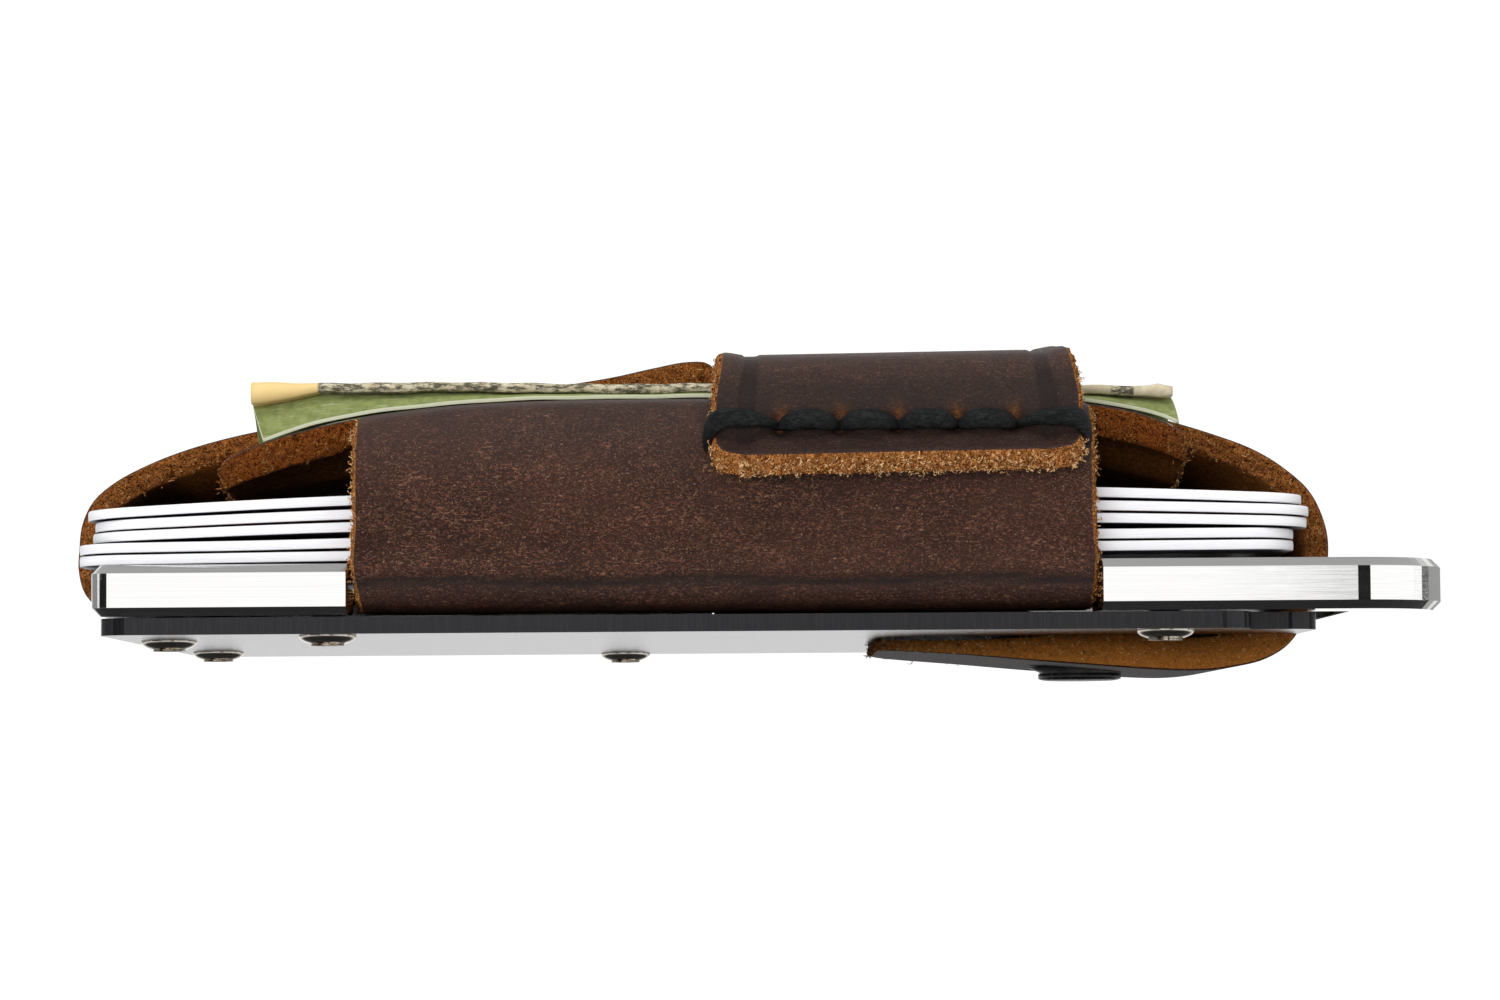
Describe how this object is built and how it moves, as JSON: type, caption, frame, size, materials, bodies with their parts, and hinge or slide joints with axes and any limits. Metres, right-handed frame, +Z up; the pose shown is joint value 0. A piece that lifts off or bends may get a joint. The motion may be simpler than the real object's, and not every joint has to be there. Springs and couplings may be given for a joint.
{
  "type": "money clip",
  "caption": "Metal-framed leather money clip with a back plate, a card wrap, a laced note band and a closing strap that snaps underneath, holding blank cards and folded notes.",
  "frame": {"origin": "middle of the assembly's box, at its lowest point, which is the snap cap under the tail", "axes": "+X along the frame towards the end that stands out past the cards, +Y across it from the laced side to the far side, +Z up from the back plate to the straps"},
  "size_m": [0.098, 0.0698, 0.0242],
  "materials": {
    "steel": "fine lengthwise brushing with milled chamfers",
    "black_plate": "satin black coating",
    "nickel": "nickel-coloured, lightly polished",
    "brown_leather": "oiled pull-up grain outside, tan suede inside, raw cut edges",
    "waxed_cord": "flat braided, waxed",
    "black_cap": "semi-gloss black",
    "white_card": "satin",
    "green_note": "matt, soft",
    "cream_note": "matt, speckled"
  },
  "bodies": {
    "clip": {"frame": "steel", "back_plate": "black_plate", "closing_strap": "brown_leather", "snap_stud": "nickel", "card_wrap": "brown_leather", "note_band": "brown_leather", "lacing_cord": "waxed_cord", "note_lower": "green_note", "note_middle": "green_note", "note_upper": "cream_note", "screw_near_left": "nickel", "screw_near_right": "nickel", "screw_far_left": "nickel", "screw_far_right": "nickel", "screw_end_near": "nickel", "screw_end_far": "nickel", "card_1": "white_card", "card_2": "white_card", "card_3": "white_card", "card_4": "white_card", "card_5": "white_card"},
    "tail": {"strap_tail": "brown_leather", "snap_cap": "black_cap", "snap_socket": "nickel"}
  },
  "joints": [
    {"name": "tail_flex", "type": "hinge", "parent": "clip", "child": "tail", "pos_m": [0.0402, 0.00189, 0.00309], "axis": [0, -1, 0], "range_deg": [0, 150]}
  ]
}
